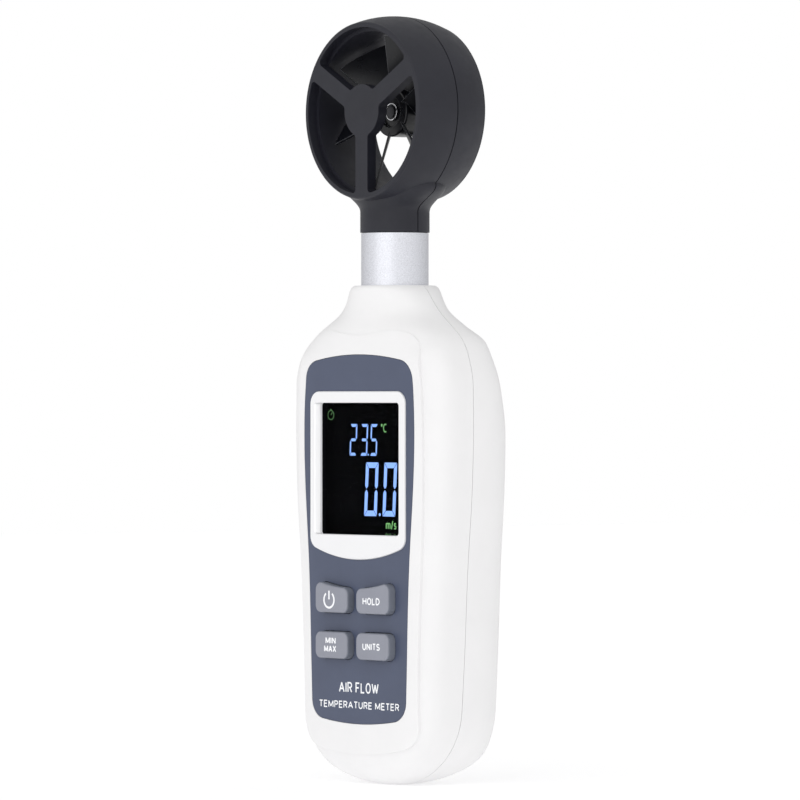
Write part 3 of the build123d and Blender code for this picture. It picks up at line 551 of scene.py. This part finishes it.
# each letter's width for a height of 1, and its strokes in a square of 1 by 1
LETTERS = {
    "A": (0.72, [[(0, 0), (0.5, 1)], [(0.5, 1), (1, 0)], [(0.18, 0.34), (0.82, 0.34)]]),
    "C": (0.62, [bow(0.55, 0.5, 0.55, 0.5, 52, 308, 20)]),
    "D": (0.62, [[(0, 1), (0, 0)], D_PATH]),
    "E": (0.52, [[(1, 0), (0, 0), (0, 1), (1, 1)], [(0, 0.52), (0.88, 0.52)]]),
    "F": (0.50, [[(0, 0), (0, 1), (1, 1)], [(0, 0.5), (0.85, 0.5)]]),
    "H": (0.62, [[(0, 0), (0, 1)], [(1, 0), (1, 1)], [(0, 0.52), (1, 0.52)]]),
    "I": (0.02, [[(0.5, 0), (0.5, 1)]]),
    "L": (0.48, [[(0, 1), (0, 0), (1, 0)]]),
    "M": (0.78, [[(0, 0), (0, 1)], [(0, 1), (0.5, 0.12)], [(0.5, 0.12), (1, 1)], [(1, 1), (1, 0)]]),
    "N": (0.62, [[(0, 0), (0, 1)], [(0, 1), (1, 0)], [(1, 0), (1, 1)]]),
    "O": (0.64, [bow(0.5, 0.5, 0.5, 0.5, -90, 90), bow(0.5, 0.5, 0.5, 0.5, 90, 270)]),
    "P": (0.54, [P_PATH]),
    "R": (0.56, [P_PATH, [(0.55, 0.48), (1, 0)]]),
    "S": (0.56, [bow(0.5, 0.745, 0.46, 0.255, 25, 270) + bow(0.5, 0.245, 0.5, 0.245, 80, -155)]),
    "T": (0.56, [[(0, 1), (1, 1)], [(0.5, 1), (0.5, 0)]]),
    "U": (0.60, [[(0, 1)] + bow(0.5, 0.4, 0.5, 0.4, 180, 360) + [(1, 1)]]),
    "W": (0.92, [[(0, 1), (0.26, 0)], [(0.26, 0), (0.5, 0.9)],
                 [(0.5, 0.9), (0.74, 0)], [(0.74, 0), (1, 1)]]),
    "X": (0.66, [[(0, 0), (1, 1)], [(0, 1), (1, 0)]]),
    "f": (0.26, [[(0.35, 0)] + bow(0.85, 0.8, 0.5, 0.2, 180, 90) + [(1, 1)], [(0, 0.68), (1, 0.68)]]),
    "i": (0.02, [[(0.5, 0), (0.5, 0.68)], [(0.5, 0.86), (0.5, 1)]]),
    "m": (0.80, [[(0, 0), (0, 0.72)], [(0.5, 0), (0.5, 0.5)] + bow(0.25, 0.5, 0.25, 0.2, 20, 160),
                 [(1, 0), (1, 0.5)] + bow(0.75, 0.5, 0.25, 0.2, 20, 160)]),
    "n": (0.42, [[(0, 0), (0, 0.72)], [(1, 0), (1, 0.5)] + bow(0.5, 0.5, 0.5, 0.2, 20, 160)]),
    "o": (0.16, [bow(0.5, 0.86, 0.5, 0.13, -90, 90), bow(0.5, 0.86, 0.5, 0.13, 90, 270)]),
    "s": (0.38, [bow(0.5, 0.53, 0.46, 0.17, 25, 270) + bow(0.5, 0.18, 0.5, 0.18, 80, -155)]),
    "t": (0.26, [[(0.4, 1)] + bow(0.85, 0.2, 0.45, 0.2, 180, 270) + [(1, 0)], [(0, 0.68), (1, 0.68)]]),
    "/": (0.28, [[(0, -0.05), (1, 1.05)]]),
    " ": (0.10, []),
}
LETTER_GAP = 0.3


def ribbon(points, stroke):
    """The outline of a stroke along a path, with mitred corners."""
    runs = [(Vector(b) - Vector(a)).normalized() for a, b in zip(points, points[1:])]
    sides = [Vector((-run.y, run.x)) for run in runs]
    left = []
    right = []
    for i, point in enumerate(points):
        before = sides[max(i - 1, 0)]
        after = sides[min(i, len(sides) - 1)]
        out = (before + after) / (1 + before.dot(after)) * stroke / 2
        left.append((point[0] + out.x, point[1] + out.y))
        right.append((point[0] - out.x, point[1] - out.y))
    return left + list(reversed(right))


def lettering(name, words, x, z, height, width, stroke, finish, y, body):
    """A line of letters centred on (x, z). Sizes and places are in millimetres, but for the plane y."""
    advance = [LETTERS[letter][0] + LETTER_GAP for letter in words]
    inner_h = height - stroke
    stretch = (width - stroke) / (sum(advance) - LETTER_GAP)
    left = x - (width - stroke) / 2
    low = z - inner_h / 2
    outlines = []
    for letter, step in zip(words, advance):
        wide, strokes = LETTERS[letter]
        for path in strokes:
            placed = [((left + px * wide * stretch) * MM, (low + pz * inner_h) * MM) for px, pz in path]
            outlines.append(ribbon(placed, stroke * MM))
        left += step * stretch
    flat_piece(name, outlines, y, MARK_T, finish, body)


KEY_STROKE = 0.3


def key_front(key):
    """The y of a key's top face, and its middle in X and Z."""
    low, high = corners(key)
    return low.y, (low.x + high.x) / 2, (low.z + high.z) / 2


def legends():
    """White legends on the keys."""
    top, x, z = key_front("power_key")
    mark_x = x - 0.65 * MM
    mark_z = z - 0.5 * MM
    ring_r = 1.7 * MM
    line = 0.46 * MM
    mark = [
        arc_band(mark_x, mark_z, ring_r, line, 127, 270),
        arc_band(mark_x, mark_z, ring_r, line, 270, 413),
        bar(mark_x, mark_z + 0.1 * MM, mark_x, mark_z + 2.0 * MM, line),
    ]
    flat_piece("power_mark", mark, top, MARK_T, PRINT_WHITE, "power_button")
    # piece, letters, key, body, X and Z from the key's middle, height, width
    lines = [
        ("hold_legend", "HOLD", "hold_key", "hold_button", -0.2, -0.5, 1.6, 5.75),
        ("min_legend", "MIN", "min_max_key", "min_max_button", -0.1, 1.0, 1.5, 3.45),
        ("max_legend", "MAX", "min_max_key", "min_max_button", -0.25, -0.8, 1.5, 4.1),
        ("units_legend", "UNITS", "units_key", "units_button", -0.2, 0.0, 1.55, 5.85),
    ]
    for name, words, key, body, right, up, height, width in lines:
        top, x, z = key_front(key)
        lettering(name, words, x / MM + right, z / MM + up, height, width, KEY_STROKE, PRINT_WHITE, top,
                  body)


def panel_print():
    """Two plain lines under the keys."""
    # piece, letters, X and Z of the middle, height, width, stroke
    lines = [
        ("panel_line_one", "AIR FLOW", 0.3, 21.3, 2.35, 13.4, 0.35),
        ("panel_line_two", "TEMPERATURE METER", 0.35, 17.5, 1.6, 27.0, 0.27),
    ]
    for name, words, x, z, height, width, stroke in lines:
        lettering(name, words, x, z, height, width, stroke, PRINT_WHITE, PANEL_Y, "handle")


def clip_rim():
    """The bright rim of the clip on the spindle's tip."""
    rim_y = corners("spindle_clip")[0].y
    ring_r = 1.8 * MM
    tube_r = 0.21 * MM
    around = 40
    across = 10
    bm = bmesh.new()
    rows = []
    for i in range(around):
        turn = 2 * math.pi * i / around
        row = []
        for j in range(across):
            tip = 2 * math.pi * j / across
            reach = ring_r + tube_r * math.cos(tip)
            height = HEAD_Z + reach * math.sin(turn)
            row.append(bm.verts.new((reach * math.cos(turn), rim_y + tube_r * math.sin(tip), height)))
        rows.append(row)
    for i in range(around):
        for j in range(across):
            a = rows[i]
            b = rows[(i + 1) % around]
            k = (j + 1) % across
            bm.faces.new((a[j], a[k], b[k], b[j]))
    bmesh.ops.recalc_face_normals(bm, faces=bm.faces)
    piece = linked("clip_rim", bm, STEEL)
    piece.data.shade_smooth()
    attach(piece, "head")


display()
pane_print()
legends()
panel_print()
clip_rim()


# ---- stage ----
VIEW_AZIMUTH = math.radians(49.5)
VIEW_DISTANCE = 1.314
VIEW_HEIGHT = 0.084
VIEW_SIDE = 1.117 * MM
LENS = 270.0
SENSOR = 36.0
NEAR = 0.05
FAR = 20.0


def camera():
    """Level with the middle of the instrument, to the right of its front."""
    towards = Vector((math.sin(VIEW_AZIMUTH), -math.cos(VIEW_AZIMUTH), 0.0))
    right = Vector((math.cos(VIEW_AZIMUTH), math.sin(VIEW_AZIMUTH), 0.0))
    aim = Vector((0.0, NECK_Y, VIEW_HEIGHT)) + right * VIEW_SIDE
    data = bpy.data.cameras.new("view")
    data.lens = LENS
    data.sensor_width = SENSOR
    data.clip_start = NEAR
    data.clip_end = FAR
    viewer = bpy.data.objects.new("view", data)
    viewer.location = aim + towards * VIEW_DISTANCE
    viewer.rotation_euler = (-towards).to_track_quat("-Z", "Y").to_euler()
    bpy.context.scene.collection.objects.link(viewer)
    bpy.context.scene.camera = viewer


def area_light(name, location, aim, size, power):
    """A square soft box. Seen through the display's cover it would leave bright specks on the black."""
    data = bpy.data.lights.new(name, "AREA")
    data.shape = "SQUARE"
    data.size = size
    data.energy = power
    lamp = bpy.data.objects.new(name, data)
    lamp.location = location
    lamp.visible_transmission = False
    lamp.rotation_euler = (Vector(aim) - Vector(location)).to_track_quat("-Z", "Y").to_euler()
    bpy.context.scene.collection.objects.link(lamp)


FLOOR_HALF = 2.0
FLOOR_GLOW = 0.40
DOME_R = 6.0
DOME_GLOW = 1.0


def self_lit(mat, strength):
    """White light from the surface itself."""
    shader = principled(mat)
    shader.inputs["Emission Color"].default_value = WHITE_LIGHT
    shader.inputs["Emission Strength"].default_value = strength


def stage_piece(name, bm, mat):
    """A piece of the set, which isn't part of the object."""
    piece = linked(name, bm, mat)
    return piece


def floor():
    """A pale floor, faintly lit of itself like paper on a light table."""
    mat = material("floor_paper", (0.74, 0.74, 0.745), 0.9, specular=0.1)
    self_lit(mat, FLOOR_GLOW)
    tint(mat, noise(mat, 3.0, 2.0), (0.735, 0.735, 0.74), (0.745, 0.745, 0.75))
    bm = bmesh.new()
    bmesh.ops.create_grid(bm, x_segments=4, y_segments=4, size=FLOOR_HALF)
    stage_piece("floor", bm, mat)


def backdrop():
    """A white dome round the set, which only the camera sees. It lights nothing."""
    mat = material("dome_white", (0.0, 0.0, 0.0), 1.0, specular=0.0)
    self_lit(mat, DOME_GLOW)
    bm = bmesh.new()
    bmesh.ops.create_icosphere(bm, subdivisions=4, radius=DOME_R)
    dome = stage_piece("backdrop", bm, mat)
    dome.visible_diffuse = False
    dome.visible_glossy = False
    dome.visible_transmission = False
    dome.visible_volume_scatter = False
    dome.visible_shadow = False


SKY_MEAN = 0.715
SKY_SWING = 0.30
BRIGHT_AZIMUTH = math.radians(36.0)
BRIGHT_RISE = math.radians(32.0)


def surroundings():
    """A soft white tent, brighter on the side that the main light comes from."""
    world = bpy.data.worlds.new("surround")
    world.use_nodes = True
    nodes = world.node_tree.nodes
    links = world.node_tree.links
    direction = nodes.new("ShaderNodeTexCoord")
    facing = nodes.new("ShaderNodeVectorMath")
    facing.operation = "DOT_PRODUCT"
    facing.inputs[1].default_value = (
        math.sin(BRIGHT_AZIMUTH) * math.cos(BRIGHT_RISE),
        -math.cos(BRIGHT_AZIMUTH) * math.cos(BRIGHT_RISE),
        math.sin(BRIGHT_RISE),
    )
    strength = nodes.new("ShaderNodeMapRange")
    strength.inputs["From Min"].default_value = -1.0
    strength.inputs["From Max"].default_value = 1.0
    strength.inputs["To Min"].default_value = SKY_MEAN - SKY_SWING
    strength.inputs["To Max"].default_value = SKY_MEAN + SKY_SWING
    links.new(direction.outputs["Generated"], facing.inputs[0])
    links.new(facing.outputs["Value"], strength.inputs["Value"])
    links.new(strength.outputs["Result"], nodes["Background"].inputs["Strength"])
    nodes["Background"].inputs["Color"].default_value = WHITE_LIGHT
    bpy.context.scene.world = world
    bpy.context.scene.view_settings.view_transform = "Standard"


camera()
floor()
backdrop()
surroundings()
area_light("soft_box", location=(0.9, -0.9, 1.1), aim=(0.0, 0.0, 0.09), size=0.7, power=1.0)
area_light("front_panel", location=(0.26, -1.3, 0.12), aim=(0.0, 0.0, 0.12), size=1.5, power=2.4)
